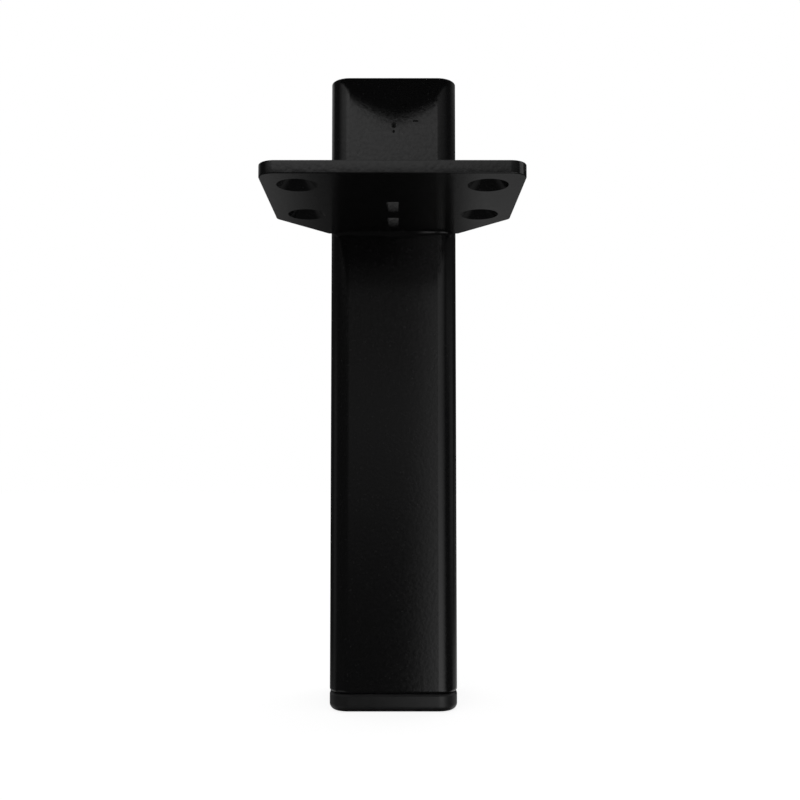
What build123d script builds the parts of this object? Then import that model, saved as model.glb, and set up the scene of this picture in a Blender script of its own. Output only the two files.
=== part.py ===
from build123d import *
import os

# Furniture leg: a rounded-square steel tube with a screw plate welded to its front face
# and a plastic glide pressed into its lower end. Sizes are in millimetres. The origin is the
# centre of the glide's sole, +Z is up, and the plate reaches forward along -Y.

# Tube
tube_width = 40.0
tube_corner_radius = 6.0
tube_wall = 1.5
tube_length = 194.5
tube_foot_end_round = 1.2
tube_stub_end_round = 0.4

# Glide: the flange that shows, and the plug inside the tube
flange_height = 5.5
sole_round = 2.0
flange_top_chamfer = 0.6
plug_height = 18.0
plug_wall = 2.0
plug_lead_in = 1.0
fin_reach = 1.2
fin_thickness = 1.2
fin_count = 3
fin_clearance = 0.1
web_thickness = 1.6

# Screw plate
plate_height = 150.0
plate_thickness = 3.5
plate_width = 70.0
plate_reach = 58.0
plate_side = 43.0
neck_width = 44.6
plate_wrap = 2.0
front_corner_radius = 4.5
rear_corner_radius = 2.0
plate_edge_round = 0.25

# Holes in the screw plate
screw_spacing_x = 51.0
screw_spacing_y = 28.0
screw_row_edge = 10.0
screw_hole_diameter = 5.4
screw_head_diameter = 11.0
slot_width = 3.6
slot_length = 10.3
slot_corner_radius = 0.3
slot_edge = 25.4
slot_pitch = 16.3
slot_count = 2

# Weld
weld_leg = 2.6

# Places that follow from the sizes above
tube_front = -tube_width / 2
plate_front = tube_front - plate_reach
tube_top = flange_height + tube_length
bore_width = tube_width - 2 * tube_wall
bore_corner_radius = tube_corner_radius - tube_wall


def rounded_square(width, radius):
    """Square section with rounded corners, centred on the tube's axis."""
    return RectangleRounded(width, width, radius)


def prism(section, bottom, height):
    """Section carried straight up from the given height."""
    return Pos(0, 0, bottom) * extrude(section, height)


def outer_edges(solid, height):
    """Edges of the solid that lie flat at the given height."""
    return solid.edges().filter_by_position(Axis.Z, height, height)


def make_leg_tube():
    """Tube cut square, with both outer ends eased before coating."""
    body = prism(rounded_square(tube_width, tube_corner_radius), flange_height, tube_length)
    body = fillet(outer_edges(body, flange_height), min(tube_foot_end_round, 0.9 * tube_wall))
    body = fillet(outer_edges(body, tube_top), min(tube_stub_end_round, 0.9 * tube_wall))
    return body - prism(rounded_square(bore_width, bore_corner_radius), flange_height, tube_length)


def make_foot_cap():
    """Glide moulded in one piece: rounded flange, hollow plug, fins that grip the bore, and a cross web."""
    flange = prism(rounded_square(tube_width, tube_corner_radius), 0, flange_height)
    flange = fillet(outer_edges(flange, 0), min(sole_round, 0.6 * flange_height))
    flange = chamfer(outer_edges(flange, flange_height), min(flange_top_chamfer, 0.3 * flange_height))

    fin_width = bore_width - 2 * fin_clearance
    fin_radius = bore_corner_radius - fin_clearance
    core_width = fin_width - 2 * fin_reach
    core_radius = fin_radius - fin_reach
    core = prism(rounded_square(core_width, core_radius), flange_height, plug_height)
    core = chamfer(outer_edges(core, flange_height + plug_height), min(plug_lead_in, 0.45 * plug_wall))
    hollow_width = core_width - 2 * plug_wall
    hollow_radius = max(core_radius - plug_wall, 0.1 * plug_wall)
    core -= prism(rounded_square(hollow_width, hollow_radius), flange_height, plug_height)

    web_height = plug_height - plug_wall
    web = prism(Rectangle(core_width - plug_wall, web_thickness), flange_height, web_height)
    web += prism(Rectangle(web_thickness, core_width - plug_wall), flange_height, web_height)

    cap = flange + core + web
    fin_pitch = plug_height / (fin_count + 1)
    for fin in range(fin_count):
        fin_bottom = flange_height + fin_pitch * (fin + 1) - fin_thickness / 2
        ring = rounded_square(fin_width, fin_radius) - rounded_square(core_width - plug_wall, core_radius)
        cap += prism(ring, fin_bottom, fin_thickness)
    return cap


def plate_outline():
    """Outline of the plate: straight sides, then tapers that run past the tube's front corners."""
    half_width = plate_width / 2
    side_end = plate_front + plate_side
    taper_slope = (half_width - neck_width / 2) / (plate_reach - plate_side)
    rear = tube_front + plate_wrap
    rear_half = neck_width / 2 - taper_slope * plate_wrap
    right = [(half_width, plate_front), (half_width, side_end), (rear_half, rear)]
    left = [(-x, y) for x, y in reversed(right)]
    outline = make_face(Polyline(*right, *left, close=True))
    corners = outline.vertices().sort_by(Axis.Y)
    outline = fillet(corners[0:2], front_corner_radius)
    corners = outline.vertices().filter_by_position(Axis.Y, side_end, side_end)
    return fillet(corners, rear_corner_radius)


def screw_cutter():
    """Through hole with a right-angled countersink that opens on the underside."""
    hole_radius = screw_hole_diameter / 2
    head_radius = screw_head_diameter / 2
    sink = head_radius - hole_radius
    hole = Cylinder(hole_radius, plate_thickness, align=(Align.CENTER, Align.CENTER, Align.MIN))
    return hole + Cone(head_radius, hole_radius, sink, align=(Align.CENTER, Align.CENTER, Align.MIN))


def make_mounting_plate():
    """Plate with eased edges, four countersunk holes and the slots on its centre line, cut to the tube."""
    plate = prism(plate_outline(), plate_height, plate_thickness)
    edge_round = min(plate_edge_round, 0.4 * plate_thickness)
    rims = outer_edges(plate, plate_height) + outer_edges(plate, plate_height + plate_thickness)
    plate = fillet(rims, edge_round)
    plate -= prism(rounded_square(tube_width, tube_corner_radius), plate_height, plate_thickness)

    screw_centre = plate_front + screw_row_edge + screw_spacing_y / 2
    for place in GridLocations(screw_spacing_x, screw_spacing_y, 2, 2):
        plate -= Pos(0, screw_centre, plate_height) * place * screw_cutter()

    slot = RectangleRounded(slot_width, slot_length, min(slot_corner_radius, 0.4 * slot_width))
    for number in range(slot_count):
        slot_centre = plate_front + slot_edge + slot_length / 2 + slot_pitch * number
        plate -= Pos(0, slot_centre, 0) * prism(slot, plate_height, plate_thickness)
    return plate


def make_weld_bead():
    """Fillet weld under the plate: a wedge that follows the tube's front face and corners within the plate."""
    toe_width = tube_width + 2 * weld_leg
    toe = rounded_square(toe_width, tube_corner_radius + weld_leg)
    wedge = extrude(toe, weld_leg, dir=(0, 0, -1), taper=45)
    wedge = Pos(0, 0, plate_height) * wedge
    wedge -= prism(rounded_square(tube_width, tube_corner_radius), plate_height - weld_leg, weld_leg)
    edge_round = min(plate_edge_round, 0.4 * plate_thickness)
    seat = offset(plate_outline(), -edge_round)
    return wedge & prism(seat, plate_height - weld_leg, weld_leg)


def main():
    os.makedirs("parts", exist_ok=True)
    pieces = {
        "leg_tube": make_leg_tube(),
        "mounting_plate": make_mounting_plate(),
        "weld_bead": make_weld_bead(),
        "foot_cap": make_foot_cap(),
    }
    for name, piece in pieces.items():
        export_step(piece, f"parts/{name}.step")


main()
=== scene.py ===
import math

import bpy
import numpy as np
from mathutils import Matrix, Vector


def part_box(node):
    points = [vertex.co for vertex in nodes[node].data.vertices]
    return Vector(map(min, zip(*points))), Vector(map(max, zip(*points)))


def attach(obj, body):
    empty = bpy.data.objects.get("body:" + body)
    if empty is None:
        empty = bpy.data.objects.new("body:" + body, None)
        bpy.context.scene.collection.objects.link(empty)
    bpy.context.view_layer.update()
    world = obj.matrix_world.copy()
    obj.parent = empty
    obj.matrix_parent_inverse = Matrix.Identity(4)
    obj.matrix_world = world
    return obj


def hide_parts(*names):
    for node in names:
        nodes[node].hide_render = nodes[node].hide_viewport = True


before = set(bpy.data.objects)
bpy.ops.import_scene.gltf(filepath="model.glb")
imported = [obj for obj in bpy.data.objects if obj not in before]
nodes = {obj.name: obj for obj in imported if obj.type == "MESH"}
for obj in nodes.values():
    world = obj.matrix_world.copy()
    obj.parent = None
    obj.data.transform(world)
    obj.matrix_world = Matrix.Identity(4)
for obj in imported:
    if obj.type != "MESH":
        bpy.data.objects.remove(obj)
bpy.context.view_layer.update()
scene = bpy.context.scene


# Leg tube. One length of rounded-square welded steel tube, cut square at both ends, sprayed with
# black powder and baked: a satin black skin with a faint orange peel and a few pits where gas
# broke through it.
tube_low, tube_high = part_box("leg_tube")
VECTOR = "NodeSocketVector"
NUMBER = "NodeSocketFloat"
PEEL_DETAIL = 1.0
GRAIN_DETAIL = 2.0
GRAIN_SHARE = 0.12
SPECK_RANGE = (0.66, 0.74)
SWELL_RANGE = (0.3, 0.7)
COAT_CELLS = (0.0011, 0.00060)
COAT_BLACK = (0.0080, 0.0080, 0.0083, 1.0)
COAT_DUST = (0.030, 0.030, 0.030, 1.0)
COAT_ROUGHNESS = (0.14, 0.20)
COAT_BUMP = (0.34, 0.00006)
PIT_DEPTH = 6.0
# Each pit: distance from the middle of the front face, drop below the stub's end, radius.
TUBE_PITS = [
    (0.0002, 0.0154, 0.0010),
    (0.0001, 0.0175, 0.0005),
    (0.0064, 0.0141, 0.0003),
    (0.0068, 0.0141, 0.0003),
    (0.0072, 0.0141, 0.0003),
    (0.0076, 0.0141, 0.0003),
]


def wire(tree, source, target):
    """Joins an output socket to an input socket."""
    tree.links.new(source, target)


def maths(tree, operation, *values):
    """One step of arithmetic on values that are sockets or plain numbers."""
    node = tree.nodes.new("ShaderNodeMath")
    node.operation = operation
    for socket, value in zip(node.inputs, values):
        if isinstance(value, (int, float)):
            socket.default_value = value
        else:
            wire(tree, value, socket)
    return node.outputs[0]


def spread(tree, value, source, target=(0.0, 1.0), kind="LINEAR"):
    """Value carried from the source range to the target range and held at its ends."""
    node = tree.nodes.new("ShaderNodeMapRange")
    node.interpolation_type = kind
    for name, number in zip(("From Min", "From Max", "To Min", "To Max"), (*source, *target)):
        node.inputs[name].default_value = number
    wire(tree, value, node.inputs["Value"])
    return node.outputs["Result"]


def axes_of(tree, place):
    """The X, Y and Z of a place or direction."""
    node = tree.nodes.new("ShaderNodeSeparateXYZ")
    wire(tree, place, node.inputs[0])
    return node.outputs


def group_with(name, inputs, outputs):
    """Starts a shader node group with the named sockets and gives the tree and its two end nodes."""
    tree = bpy.data.node_groups.new(name, "ShaderNodeTree")
    for socket, kind in inputs:
        tree.interface.new_socket(socket, in_out="INPUT", socket_type=kind)
    for socket, kind in outputs:
        tree.interface.new_socket(socket, in_out="OUTPUT", socket_type=kind)
    return tree, tree.nodes.new("NodeGroupInput"), tree.nodes.new("NodeGroupOutput")


def powder_skin_group():
    """Height is two layers of noise, the slow swell of orange peel and the fine grain of the powder.
    Speckle is the grain alone, cut to its rare high points."""
    tree, start, end = group_with(
        "powder_skin",
        [("Place", VECTOR), ("Peel cell", NUMBER), ("Grain cell", NUMBER)],
        [("Height", NUMBER), ("Swell", NUMBER), ("Speckle", NUMBER)],
    )
    layers = []
    for cell, detail in (("Peel cell", PEEL_DETAIL), ("Grain cell", GRAIN_DETAIL)):
        noise = tree.nodes.new("ShaderNodeTexNoise")
        noise.inputs["Detail"].default_value = detail
        wire(tree, start.outputs["Place"], noise.inputs["Vector"])
        wire(tree, maths(tree, "DIVIDE", 1.0, start.outputs[cell]), noise.inputs["Scale"])
        layers.append(noise.outputs["Fac"])
    peel, grain = layers
    wire(tree, maths(tree, "MULTIPLY_ADD", grain, GRAIN_SHARE, peel), end.inputs["Height"])
    wire(tree, peel, end.inputs["Swell"])
    wire(tree, spread(tree, grain, SPECK_RANGE), end.inputs["Speckle"])
    return tree


def pit_group():
    """Mask is one at the pit's centre and falls to nothing at its radius, by distance from the centre."""
    tree, start, end = group_with(
        "paint_pit",
        [("Place", VECTOR), ("Centre", VECTOR), ("Radius", NUMBER)],
        [("Mask", NUMBER)],
    )
    away = tree.nodes.new("ShaderNodeVectorMath")
    away.operation = "DISTANCE"
    wire(tree, start.outputs["Place"], away.inputs[0])
    wire(tree, start.outputs["Centre"], away.inputs[1])
    share = maths(tree, "DIVIDE", away.outputs["Value"], start.outputs["Radius"])
    wire(tree, spread(tree, share, (0.0, 1.0), (1.0, 0.0), "SMOOTHSTEP"), end.inputs["Mask"])
    return tree


powder_skin = powder_skin_group()
paint_pit = pit_group()


def skin_material(name, cells, colours, roughness):
    """Starts a material on the powder skin. Its colour turns from the first to the second at the skin's
    rare high points. Gives the material, the place on the piece, the skin's height and a roughness that
    follows its slow swell."""
    material = bpy.data.materials.new(name)
    material.use_nodes = True
    tree = material.node_tree
    place = tree.nodes.new("ShaderNodeTexCoord").outputs["Object"]
    skin = tree.nodes.new("ShaderNodeGroup")
    skin.node_tree = powder_skin
    skin.inputs["Peel cell"].default_value = cells[0]
    skin.inputs["Grain cell"].default_value = cells[1]
    wire(tree, place, skin.inputs["Place"])
    colour = tree.nodes.new("ShaderNodeMix")
    colour.data_type = "RGBA"
    colour.inputs["A"].default_value = colours[0]
    colour.inputs["B"].default_value = colours[1]
    wire(tree, skin.outputs["Speckle"], colour.inputs["Factor"])
    wire(tree, colour.outputs["Result"], tree.nodes["Principled BSDF"].inputs["Base Color"])
    dullness = spread(tree, skin.outputs["Swell"], SWELL_RANGE, roughness)
    return material, place, skin.outputs["Height"], dullness


def close_material(material, height, dullness, strength, depth):
    """Joins the roughness and the bump of the height to the material's shader."""
    tree = material.node_tree
    shader = tree.nodes["Principled BSDF"]
    wire(tree, dullness, shader.inputs["Roughness"])
    bump = tree.nodes.new("ShaderNodeBump")
    bump.inputs["Strength"].default_value = strength
    bump.inputs["Distance"].default_value = depth
    wire(tree, height, bump.inputs["Height"])
    wire(tree, bump.outputs["Normal"], shader.inputs["Normal"])
    return material


def powder_coat(name, pits=(), crown=None):
    """Satin black coating on steel, near black with rare dust specks. Each pit on the tube's front takes
    its mask off the height and is dull inside. A crown gives the middle height of an edge and a fall: the
    coat goes down by the fall times the square of the distance above or below that middle."""
    material, place, height, dullness = skin_material(
        name, COAT_CELLS, (COAT_BLACK, COAT_DUST), COAT_ROUGHNESS
    )
    tree = material.node_tree
    for across, drop, radius in pits:
        pit = tree.nodes.new("ShaderNodeGroup")
        pit.node_tree = paint_pit
        pit.inputs["Centre"].default_value = (across, tube_low.y, tube_high.z - drop)
        pit.inputs["Radius"].default_value = radius
        wire(tree, place, pit.inputs["Place"])
        height = maths(tree, "MULTIPLY_ADD", pit.outputs["Mask"], -PIT_DEPTH, height)
        dullness = maths(tree, "MAXIMUM", pit.outputs["Mask"], dullness)
    if crown is not None:
        middle, fall = crown
        away = maths(tree, "SUBTRACT", axes_of(tree, place)["Z"], middle)
        height = maths(tree, "MULTIPLY_ADD", maths(tree, "MULTIPLY", away, away), -fall, height)
    return close_material(material, height, dullness, *COAT_BUMP)


nodes["leg_tube"].data.materials[0] = powder_coat("tube_powder_coat", TUBE_PITS)


# Mounting plate. Steel plate punched with four countersunk screw holes and two slots, cut to the
# tube along its rear edge and coated together with it. The powder draws back from its sharp edges.
plate_low, plate_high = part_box("mounting_plate")
EDGE_MIDDLE = (plate_low.z + plate_high.z) / 2
EDGE_FALL = 3.9e5
plate_coat = powder_coat("plate_powder_coat", crown=(EDGE_MIDDLE, EDGE_FALL))
nodes["mounting_plate"].data.materials[0] = plate_coat


# Weld bead. Fillet weld laid under the plate along the front of the tube and round its two front
# corners, fullest in the middle and slimmer towards its ends, with low scales left by the moving arc
# under the coating.
weld_low, weld_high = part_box("weld_bead")
TUBE_HALF = tube_high.x
TUBE_CORNER = 0.006
WELD_LEG = weld_high.z - weld_low.z
WELD_MIDDLE = 0.84
WELD_END = 0.50
WELD_SLIM_FROM = 0.005
WELD_SLIM_OVER = 0.012
WELD_TURN = math.radians(52)
WELD_CLOSE = 0.0016
WELD_SWELL = 0.24
WELD_ROOT = 0.0001
WELD_STEPS = 460
WELD_SIDES = 18
# Each wave along the legs: share of the leg, length, phase.
WELD_WAVES = [(0.07, 0.0037, 0.6), (0.05, 0.0016, 2.1)]
SCALE_PITCH = 0.0015
SCALE_RISE = 0.007
SCALE_BOW = 0.0005
SCALE_DRIFT = 0.00025
SCALE_DRIFT_LENGTH = 0.0021


def weld_mesh():
    """The path is the tube's outline from one front corner over the flat face to the other. At each
    step the section is a wedge between plate and tube whose face is a straight slope, plus a sine
    swell, plus scales that lag behind in the middle of the bead. The legs shrink towards the corners
    by a smooth step and wander a little, and both ends close to a point."""
    flat_half = TUBE_HALF - TUBE_CORNER
    half_length = flat_half + TUBE_CORNER * WELD_TURN
    along = np.linspace(-half_length, half_length, WELD_STEPS)
    past = np.clip(np.abs(along) - flat_half, 0.0, None) / TUBE_CORNER
    side = np.sign(along)
    path_x = side * (np.minimum(np.abs(along), flat_half) + TUBE_CORNER * np.sin(past))
    path_y = -TUBE_HALF + TUBE_CORNER * (1 - np.cos(past))
    out_x = side * np.sin(past)
    out_y = -np.cos(past)

    end_gap = np.clip((half_length - np.abs(along)) / WELD_CLOSE, 0.0, 1.0)
    taper = np.sqrt(1.0 - (1.0 - end_gap) ** 2)
    wander = np.ones_like(along)
    for share, length, phase in WELD_WAVES:
        wander += share * np.sin(along / length + phase)
    end_share = np.clip((np.abs(along) - WELD_SLIM_FROM) / WELD_SLIM_OVER, 0.0, 1.0)
    end_share = end_share ** 2 * (3.0 - 2.0 * end_share)
    full_leg = WELD_LEG * (WELD_MIDDLE + (WELD_END - WELD_MIDDLE) * end_share)
    leg = (full_leg * taper * wander / wander.max())[:, None]

    across = np.linspace(0.0, 1.0, WELD_SIDES)[None, :]
    bow = SCALE_BOW * np.sin(math.pi * across)
    drift = SCALE_DRIFT * np.sin(along / SCALE_DRIFT_LENGTH)[:, None]
    beat = (along[:, None] - bow + drift) / SCALE_PITCH
    scale = 1.0 - np.abs(np.sin(math.pi * beat))
    swell = np.sin(math.pi * across) * leg * (WELD_SWELL + SCALE_RISE * scale)
    slant = math.sqrt(0.5)
    outward = leg * (1.0 - across) + swell * slant
    down = leg * across + swell * slant
    root = np.full((WELD_STEPS, 1), -WELD_ROOT)
    outward = np.hstack([outward, root])
    down = np.hstack([down, root])

    points = np.stack([
        path_x[:, None] + out_x[:, None] * outward,
        path_y[:, None] + out_y[:, None] * outward,
        weld_high.z - down,
    ], axis=-1).reshape(-1, 3)
    row = WELD_SIDES + 1
    step, spot = np.meshgrid(np.arange(WELD_STEPS - 1), np.arange(row), indexing="ij")
    ahead = (spot + 1) % row
    faces = np.stack([
        step * row + spot,
        step * row + ahead,
        (step + 1) * row + ahead,
        (step + 1) * row + spot,
    ], axis=-1).reshape(-1, 4)
    return points, faces


def new_piece(name, points, faces):
    """Puts whole arrays of points and faces into a smooth mesh object at the origin."""
    mesh = bpy.data.meshes.new(name)
    mesh.from_pydata(points.tolist(), [], faces.tolist())
    mesh.polygons.foreach_set("use_smooth", np.ones(len(mesh.polygons), bool))
    mesh.update()
    piece = bpy.data.objects.new(name, mesh)
    scene.collection.objects.link(piece)
    return piece


weld = new_piece("rippled_weld", *weld_mesh())
weld.data.materials.append(powder_coat("weld_powder_coat"))
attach(weld, "root")
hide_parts("weld_bead")


# Foot cap. Glide moulded from black plastic and pushed into the tube, flush with it all round, with
# the dull fine-grained skin of a spark-eroded mould.
PLASTIC_CELLS = (0.004, 0.00035)
PLASTIC_BLACK = (0.016, 0.016, 0.0165, 1.0)
PLASTIC_WORN = (0.030, 0.030, 0.030, 1.0)
PLASTIC_ROUGHNESS = (0.36, 0.46)
PLASTIC_BUMP = (0.3, 0.00008)


def glide_plastic(name):
    """Dull black plastic with rare worn specks. Roughness drifts with a slow cloud, and bump is that
    cloud with the mould's fine grain on it."""
    material, _, height, dullness = skin_material(
        name, PLASTIC_CELLS, (PLASTIC_BLACK, PLASTIC_WORN), PLASTIC_ROUGHNESS
    )
    return close_material(material, height, dullness, *PLASTIC_BUMP)


nodes["foot_cap"].data.materials[0] = glide_plastic("glide_plastic")


# Floor. A wide white sheet under the leg that runs into the surround without a line, with a soft
# shadow at the foot. It shows from above only.
FLOOR_REACH = 6.0
FLOOR_GLOW = 0.826
FLOOR_WHITE = (0.8, 0.8, 0.8, 1.0)
floor = new_piece(
    "floor",
    np.array([(-1, -1, 0), (1, -1, 0), (1, 1, 0), (-1, 1, 0)]) * FLOOR_REACH,
    np.array([(0, 1, 2, 3)]),
)
paper = bpy.data.materials.new("floor_paper")
paper.use_nodes = True
paper_tree = paper.node_tree
paper_tree.nodes.clear()
paper_out = paper_tree.nodes.new("ShaderNodeOutputMaterial")
paper_matte = paper_tree.nodes.new("ShaderNodeBsdfDiffuse")
paper_matte.inputs["Color"].default_value = FLOOR_WHITE
paper_rays = paper_tree.nodes.new("ShaderNodeLightPath")
paper_level = maths(paper_tree, "MULTIPLY", paper_rays.outputs["Is Camera Ray"], FLOOR_GLOW)
paper_glow = paper_tree.nodes.new("ShaderNodeEmission")
wire(paper_tree, paper_level, paper_glow.inputs["Strength"])
paper_top = paper_tree.nodes.new("ShaderNodeAddShader")
wire(paper_tree, paper_matte.outputs[0], paper_top.inputs[0])
wire(paper_tree, paper_glow.outputs[0], paper_top.inputs[1])
paper_clear = paper_tree.nodes.new("ShaderNodeBsdfTransparent")
paper_side = paper_tree.nodes.new("ShaderNodeNewGeometry")
paper_mix = paper_tree.nodes.new("ShaderNodeMixShader")
wire(paper_tree, paper_side.outputs["Backfacing"], paper_mix.inputs["Fac"])
wire(paper_tree, paper_top.outputs[0], paper_mix.inputs[1])
wire(paper_tree, paper_clear.outputs[0], paper_mix.inputs[2])
wire(paper_tree, paper_mix.outputs[0], paper_out.inputs["Surface"])
floor.data.materials.append(paper)
floor.visible_glossy = False


# Studio light. A white surround for the camera, while the leg itself sees a dim room hung with soft
# panels: broad ones high in front, a faint one level with the leg, a bright one low on the right, and
# pale ones at the sides, behind and overhead.
ROOM_LEVEL = 0.032
SOFT_LEVEL = 0.22
WHITE_LEVEL = 1.0
LIGHT_COLOUR = (1.0, 1.0, 1.0, 1.0)
# Each panel, in degrees: turn to the right of the front, height above the horizon, half width, half
# height, soft edge at the sides, soft edge above and below. The last value is its level.
PANELS = [
    (-8, 31, 15, 15, 6, 2, 0.41),
    (-25, 31, 30, 15, 24, 2, 0.50),
    (25, 31, 20, 15, 30, 2, 0.22),
    (2, 4, 12, 5, 8, 7, 0.16),
    (34, -26, 16, 9, 8, 8, 0.80),
    (-142, 32, 22, 14, 8, 6, 0.40),
    (122, 36, 24, 12, 8, 8, 0.30),
    (122, -36, 36, 12, 8, 8, 0.10),
    (-122, -36, 30, 12, 8, 8, 0.08),
    (0, 72, 180, 22, 12, 12, 0.28),
    (150, 45, 30, 16, 12, 12, 0.35),
]


def panel_level(tree, place, turn, height, half_width, half_height, side_edge, rise_edge, strength):
    """Light of one panel: its strength times two soft steps, one by the angle round from the panel's
    middle and one by the angle up or down from it."""
    spin = tree.nodes.new("ShaderNodeVectorRotate")
    spin.rotation_type = "Z_AXIS"
    spin.inputs["Angle"].default_value = -math.radians(turn)
    wire(tree, place, spin.inputs["Vector"])
    axes = axes_of(tree, spin.outputs["Vector"])
    front = maths(tree, "MULTIPLY", axes["Y"], -1.0)
    round_angle = maths(tree, "ARCTAN2", axes["X"], front)
    rise_angle = maths(tree, "ARCSINE", axes["Z"])
    light = strength
    for angle, middle, half, edge in (
        (round_angle, 0, half_width, side_edge),
        (rise_angle, height, half_height, rise_edge),
    ):
        away = maths(tree, "ABSOLUTE", maths(tree, "SUBTRACT", angle, math.radians(middle)))
        dark_to_bright = (math.radians(half + edge), math.radians(half - edge))
        light = maths(tree, "MULTIPLY", spread(tree, away, dark_to_bright, kind="SMOOTHSTEP"), light)
    return light


def all_panels(tree, place, panels, base):
    """Sum of the base level and of every panel's light in the direction that place gives."""
    level = base
    for panel in panels:
        level = maths(tree, "ADD", panel_level(tree, place, *panel), level)
    return level


world = bpy.data.worlds.new("studio")
scene.world = world
world.use_nodes = True
sky = world.node_tree
sky.nodes.clear()
sky_out = sky.nodes.new("ShaderNodeOutputWorld")
sky_place = sky.nodes.new("ShaderNodeTexCoord")
room = sky.nodes.new("ShaderNodeBackground")
room.inputs["Color"].default_value = LIGHT_COLOUR
wire(sky, all_panels(sky, sky_place.outputs["Generated"], PANELS, ROOM_LEVEL), room.inputs["Strength"])
sky_rays = sky.nodes.new("ShaderNodeLightPath")
seen = room.outputs[0]
for ray, strength in (("Is Diffuse Ray", SOFT_LEVEL), ("Is Camera Ray", WHITE_LEVEL)):
    plain = sky.nodes.new("ShaderNodeBackground")
    plain.inputs["Color"].default_value = LIGHT_COLOUR
    plain.inputs["Strength"].default_value = strength
    choice = sky.nodes.new("ShaderNodeMixShader")
    wire(sky, sky_rays.outputs[ray], choice.inputs["Fac"])
    wire(sky, seen, choice.inputs[1])
    wire(sky, plain.outputs[0], choice.inputs[2])
    seen = choice.outputs[0]
wire(sky, seen, sky_out.inputs["Surface"])
scene.view_settings.view_transform = "Standard"


# White card. The first of the studio's reflection cards, which glossy surfaces of the leg see and the
# camera doesn't. It stands close in front of the leg on the right, with a top edge that rises to the
# right, and gives the bright line down the tube's right corner.
CARD_REACH = (0.004, 0.115)
CARD_DEPTH = tube_low.y - 0.080
CARD_LOW = -0.045
CARD_TOP = plate_low.z - 0.002
CARD_SLANT = 0.034
CARD_STRIPE = (0.029, 0.034)
CARD_GROWTH = (0.10, -0.02)
CARD_GLOW = (0.47, 1.10)


def card_sheet(name, place, rows=2, columns=2):
    """Grid of rows by columns whose points come from the place function of the two grid numbers, 0 to 1."""
    along, across = np.meshgrid(np.linspace(0, 1, rows), np.linspace(0, 1, columns), indexing="ij")
    points = np.stack(place(along, across), axis=-1).reshape(-1, 3)
    step, spot = np.meshgrid(np.arange(rows - 1), np.arange(columns - 1), indexing="ij")
    corner = step * columns + spot
    faces = np.stack([corner, corner + 1, corner + columns + 1, corner + columns], axis=-1).reshape(-1, 4)
    card = new_piece(name, points, faces)
    card.visible_camera = False
    card.visible_diffuse = False
    card.visible_shadow = False
    card.visible_transmission = False
    card.visible_volume_scatter = False
    return card


def light_card(card, glow, lit):
    """Gives a card light that comes from its glow function of the place on it, lets all else pass
    through it, and lets only the given pieces see it."""
    material = bpy.data.materials.new(card.name + "_light")
    material.use_nodes = True
    material.cycles.emission_sampling = "NONE"
    tree = material.node_tree
    tree.nodes.clear()
    end = tree.nodes.new("ShaderNodeOutputMaterial")
    light = tree.nodes.new("ShaderNodeEmission")
    clear = tree.nodes.new("ShaderNodeBsdfTransparent")
    both = tree.nodes.new("ShaderNodeAddShader")
    place = tree.nodes.new("ShaderNodeTexCoord")
    wire(tree, glow(tree, place.outputs["Object"]), light.inputs["Strength"])
    wire(tree, light.outputs[0], both.inputs[0])
    wire(tree, clear.outputs[0], both.inputs[1])
    wire(tree, both.outputs[0], end.inputs["Surface"])
    card.data.materials.append(material)
    seen_by = bpy.data.collections.new(card.name + "_lights")
    for piece in lit:
        seen_by.objects.link(piece)
    card.light_linking.receiver_collection = seen_by


def between(ends, share):
    """Value that lies the given share of the way from the first end to the second."""
    return ends[0] + (ends[1] - ends[0]) * share


def ramp(tree, value, dark, bright, top=1.0):
    """Soft step of a value from nothing at dark to top at bright."""
    return spread(tree, value, (dark, bright), (0.0, top), "SMOOTHSTEP")


def white_place(along, across):
    """Upright sheet from its low edge to a top edge that rises evenly to the right."""
    top = CARD_TOP + CARD_SLANT * across
    return between(CARD_REACH, across), np.full_like(along, CARD_DEPTH), between((CARD_LOW, top), along)


def white_glow(tree, place):
    """Light that rises from both sides to a bright stripe, and grows towards the floor."""
    axes = axes_of(tree, place)
    left = ramp(tree, axes["X"], CARD_REACH[0], CARD_STRIPE[0])
    right = ramp(tree, axes["X"], CARD_REACH[1], CARD_STRIPE[1])
    low = spread(tree, axes["Z"], CARD_GROWTH, CARD_GLOW)
    return maths(tree, "MULTIPLY", maths(tree, "MULTIPLY", left, right), low)


upright_pieces = [nodes["leg_tube"], nodes["foot_cap"]]
light_card(card_sheet("white_card", white_place), white_glow, upright_pieces)


# Low drum. A wide drum of thin cloth round the leg, lit in soft panels that are mostly low down, for
# the tube's sides and back. Its panels have the same values as the room's.
DRUM_RADIUS = 0.9
DRUM_MIDDLE = (0.0, 0.0, 0.08)
DRUM_COLUMNS = 49
DRUM_PANELS = [
    (130, -32, 32, 16, 10, 8, 0.60),
    (136, -9, 14, 8, 10, 8, 0.16),
    (-122, -34, 30, 14, 8, 8, 0.40),
    (-48, -36, 24, 13, 10, 6, 0.34),
    (92, 2, 14, 12, 8, 8, 0.18),
    (66, 12, 12, 4, 10, 3, 0.16),
    (-92, -4, 12, 14, 8, 8, 0.11),
]


def drum_place(along, across):
    """Circle carried straight up, from below the floor to well above the leg."""
    turn = 2 * math.pi * across
    z = DRUM_MIDDLE[2] + DRUM_RADIUS * (2 * along - 1)
    return DRUM_RADIUS * np.sin(turn), -DRUM_RADIUS * np.cos(turn), z


def drum_glow(tree, place):
    """Light of the drum's panels by the direction from the middle of the drum."""
    away = tree.nodes.new("ShaderNodeVectorMath")
    away.operation = "SUBTRACT"
    away.inputs[1].default_value = DRUM_MIDDLE
    wire(tree, place, away.inputs[0])
    unit = tree.nodes.new("ShaderNodeVectorMath")
    unit.operation = "NORMALIZE"
    wire(tree, away.outputs["Vector"], unit.inputs[0])
    return all_panels(tree, unit.outputs["Vector"], DRUM_PANELS, 0.0)


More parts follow.
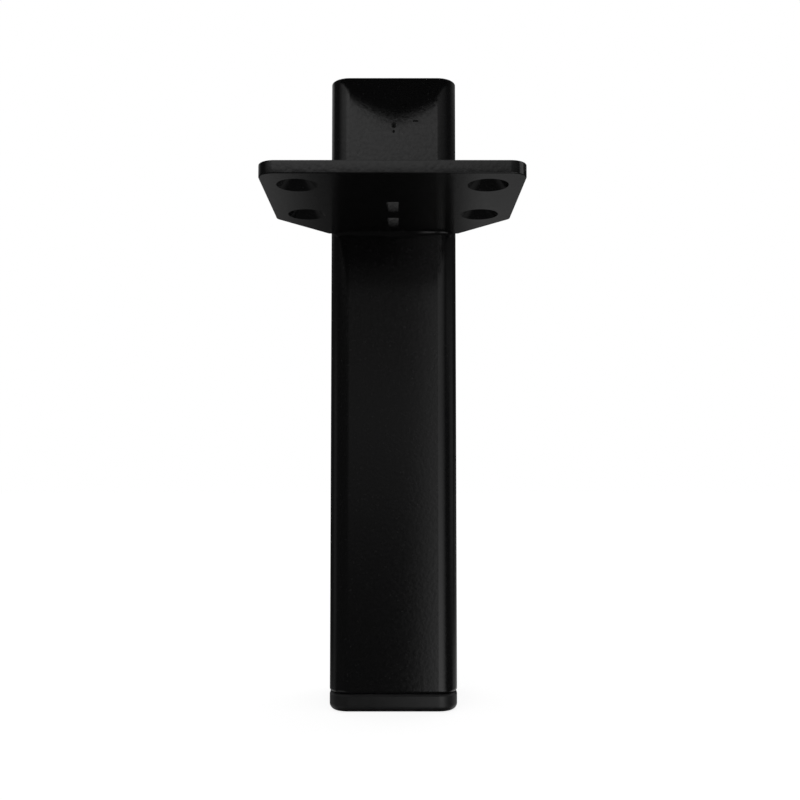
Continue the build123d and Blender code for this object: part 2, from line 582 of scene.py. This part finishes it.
light_card(card_sheet("low_drum", drum_place, columns=DRUM_COLUMNS), drum_glow, upright_pieces)


# Back card. Upright sheet close behind the tube, for the plate's underside: dark behind the tube and
# brighter on both sides of it.
BACK_REACH = (-0.085, 0.085)
BACK_DEPTH = tube_high.y + 0.040
BACK_RISE = (0.02, plate_low.z - 0.013)
BACK_FADE = 0.010
# Each side: where the light starts, where it is full, level.
BACK_LEFT = (-0.024, -0.066, 0.175)
BACK_RIGHT = (0.019, 0.037, 0.127)


def back_place(along, across):
    """Upright rectangle that faces the front."""
    return between(BACK_REACH, across), np.full_like(along, BACK_DEPTH), between(BACK_RISE, along)


def back_glow(tree, place):
    """Light that grows outwards from behind the tube, slowly on the left and quickly on the right, and
    fades out below the plate."""
    axes = axes_of(tree, place)
    left = ramp(tree, axes["X"], *BACK_LEFT)
    right = ramp(tree, axes["X"], *BACK_RIGHT)
    low = ramp(tree, axes["Z"], BACK_RISE[1], BACK_RISE[1] - BACK_FADE)
    return maths(tree, "MULTIPLY", maths(tree, "ADD", left, right), low)


plate_pieces = [nodes["mounting_plate"]]
light_card(card_sheet("back_card", back_place), back_glow, plate_pieces)


# Near card. Low upright sheet just in front of the plate's free edge and below it. It lights the lower
# rim of that edge, and the plate's underside as the top of the tube mirrors it.
NEAR_REACH = (-0.012, 0.060)
NEAR_DEPTH = plate_low.y - 0.027
NEAR_RISE = (plate_low.z - 0.038, plate_low.z - 0.001)
NEAR_RIGHT = (-0.006, 0.032, 0.70)
NEAR_LOW = (plate_low.z + 0.008, plate_low.z - 0.014)


def near_place(along, across):
    """Upright rectangle that faces the tube."""
    return between(NEAR_REACH, across), np.full_like(along, NEAR_DEPTH), between(NEAR_RISE, along)


def near_glow(tree, place):
    """Light that grows from the left to the right and away from the plate."""
    axes = axes_of(tree, place)
    right = ramp(tree, axes["X"], *NEAR_RIGHT)
    low = ramp(tree, axes["Z"], *NEAR_LOW)
    return maths(tree, "MULTIPLY", right, low)


light_card(card_sheet("near_card", near_place), near_glow, plate_pieces)


# Side card. Upright sheet on the right of the plate, edge on to the front, for the rounded right end of
# the plate's free edge.
SIDE_PLACE = plate_high.x + 0.080
SIDE_REACH = (-0.110, -0.060)
SIDE_RISE = (plate_low.z, plate_low.z + 0.130)
SIDE_FADE = 0.012
SIDE_GLOW = 0.75


def side_place(along, across):
    """Upright rectangle that runs from front to back."""
    return np.full_like(along, SIDE_PLACE), between(SIDE_REACH, across), between(SIDE_RISE, along)


def side_glow(tree, place):
    """Light of one level with soft upper and lower edges."""
    axes = axes_of(tree, place)
    low = ramp(tree, axes["Z"], SIDE_RISE[0], SIDE_RISE[0] + SIDE_FADE, SIDE_GLOW)
    high = ramp(tree, axes["Z"], SIDE_RISE[1], SIDE_RISE[1] - SIDE_FADE)
    return maths(tree, "MULTIPLY", low, high)


light_card(card_sheet("side_card", side_place), side_glow, plate_pieces)


# Painted shadow leaf. Level black sheet that points forward from the stub's upper edge, a little to the
# right of its middle, seen only in reflections. Its reflection is the dark point on the stub's front face,
# a painted reflection of shade where the scene casts no shadow.
LEAF_MIDDLE = 0.0010
LEAF_HALF = 0.0215
LEAF_REACH = 0.0380
LEAF_POWER = 1.35
LEAF_GAP = 0.0002
LEAF_ROWS = 24
LEAF_COLUMNS = 9
# Black of the leaf: painted shade, seen only as a dark reflection in the stub's front face.
PAINTED_SHADOW_BLACK = (0.002, 0.002, 0.002, 1.0)


def leaf_place(along, across):
    """Level sheet with the outline of a superellipse, widest at the stub."""
    half = LEAF_HALF * (1 - along ** LEAF_POWER) ** (1 / LEAF_POWER)
    x = LEAF_MIDDLE + half * (2 * across - 1)
    y = tube_low.y - LEAF_GAP - LEAF_REACH * along
    return x, y, np.full_like(x, tube_high.z + LEAF_GAP)


# The leaf and its black material give a painted reflection of shade on the stub, not a real part or cloth.
painted_shadow_leaf = card_sheet("painted_shadow_leaf", leaf_place, LEAF_ROWS, LEAF_COLUMNS)
painted_shadow_material = bpy.data.materials.new("painted_shadow_material")
painted_shadow_material.use_nodes = True
leaf_shader = painted_shadow_material.node_tree.nodes["Principled BSDF"]
leaf_shader.inputs["Base Color"].default_value = PAINTED_SHADOW_BLACK
leaf_shader.inputs["Specular IOR Level"].default_value = 0.0
painted_shadow_leaf.data.materials.append(painted_shadow_material)


# Camera. Low in front of the leg and looking slightly up, with the frame shifted by a few pixels as
# the photograph is cut.
IMAGE_SIDE = 800
FOCAL_PIXELS = 961.1
OPTICAL_CENTRE = (398.2, 430.0)
EYE = (0.0015, -0.32037, 0.07065)
EYE_PITCH = math.radians(3.165)
SENSOR_WIDTH = 36.0
NEAREST = 0.01
view = bpy.data.cameras.new("camera")
view.sensor_width = SENSOR_WIDTH
view.lens = SENSOR_WIDTH * FOCAL_PIXELS / IMAGE_SIDE
view.shift_x = (IMAGE_SIDE / 2 - OPTICAL_CENTRE[0]) / IMAGE_SIDE
view.shift_y = (OPTICAL_CENTRE[1] - IMAGE_SIDE / 2) / IMAGE_SIDE
view.clip_start = NEAREST
camera = bpy.data.objects.new("camera", view)
camera.location = EYE
camera.rotation_euler = (math.pi / 2 + EYE_PITCH, 0.0, 0.0)
scene.collection.objects.link(camera)
scene.camera = camera
